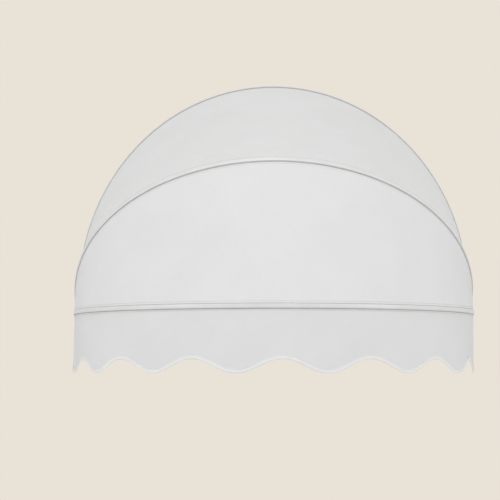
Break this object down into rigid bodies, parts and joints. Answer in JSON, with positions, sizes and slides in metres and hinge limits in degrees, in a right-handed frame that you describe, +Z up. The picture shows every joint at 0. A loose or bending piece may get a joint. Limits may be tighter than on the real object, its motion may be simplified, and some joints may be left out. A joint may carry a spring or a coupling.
{
  "type": "folding dome window awning",
  "caption": "Half-dome window awning with white fabric stretched over bent hoops that fold up on wall pivots, and a scalloped valance along the front hoop.",
  "frame": {"origin": "in the wall plane, on the back face of the crown bracket, on the awning's middle line", "axes": "+X along the wall to the right as seen from the front, +Y into the wall so that the awning stands out towards -Y, +Z up"},
  "size_m": [1.2, 0.749, 0.8879],
  "materials": {
    "white_aluminium": "white powder coat, satin",
    "canopy_fabric": "matt woven acrylic canvas",
    "binding_tape": "matt woven tape with a stitched edge",
    "welt_bead": "matt",
    "steel": "zinc plated",
    "black_nylon": "moulded, matt"
  },
  "bodies": {
    "wall_frame": {"wall_hoop": "white_aluminium", "wall_keder": "welt_bead", "crown_bracket": "white_aluminium", "crown_screw": "steel", "pulley_pin": "steel", "rear_panel": "canopy_fabric", "wall_clip_right": "white_aluminium", "wall_clip_left": "white_aluminium", "clip_screw_right": "steel", "clip_screw_left": "steel", "spigot_screw_right": "steel", "spigot_screw_left": "steel", "pivot_bracket_right": "white_aluminium", "pivot_bracket_left": "white_aluminium", "pivot_bolt_right": "steel", "pivot_bolt_left": "steel", "pivot_nut_right": "steel", "pivot_nut_left": "steel", "outer_washer_right": "black_nylon", "outer_washer_left": "black_nylon", "lug_washer_right": "black_nylon", "lug_washer_left": "black_nylon", "ear_washer_right": "black_nylon", "ear_washer_left": "black_nylon", "nut_washer_right": "black_nylon", "nut_washer_left": "black_nylon"},
    "sheave": {"pulley_sheave": "black_nylon"},
    "middle_bow": {"middle_hoop": "white_aluminium", "middle_upper_keder": "welt_bead", "middle_lower_keder": "welt_bead", "middle_lift_eye": "steel", "front_panel": "canopy_fabric", "middle_lug_right": "white_aluminium", "middle_lug_left": "white_aluminium", "middle_lug_screw_right": "steel", "middle_lug_screw_left": "steel"},
    "front_bow": {"front_hoop": "white_aluminium", "front_upper_keder": "welt_bead", "front_lower_keder": "welt_bead", "front_lift_eye": "steel", "valance": "canopy_fabric", "valance_binding": "binding_tape", "front_lug_right": "white_aluminium", "front_lug_left": "white_aluminium", "front_lug_screw_right": "steel", "front_lug_screw_left": "steel"}
  },
  "joints": [
    {"name": "middle_fold", "type": "hinge", "parent": "wall_frame", "child": "middle_bow", "pos_m": [0, -0.04, -0.67672], "axis": [-1, 0, 0], "range_deg": [0, 51], "deforming": ["rear_panel"]},
    {"name": "front_fold", "type": "hinge", "parent": "middle_bow", "child": "front_bow", "pos_m": [0, -0.04, -0.67672], "axis": [-1, 0, 0], "range_deg": [0, 23.5], "deforming": ["front_panel"]},
    {"name": "sheave_spin", "type": "hinge", "parent": "wall_frame", "child": "sheave", "pos_m": [0, -0.024, -0.022], "axis": [1, 0, 0], "continuous": true}
  ]
}
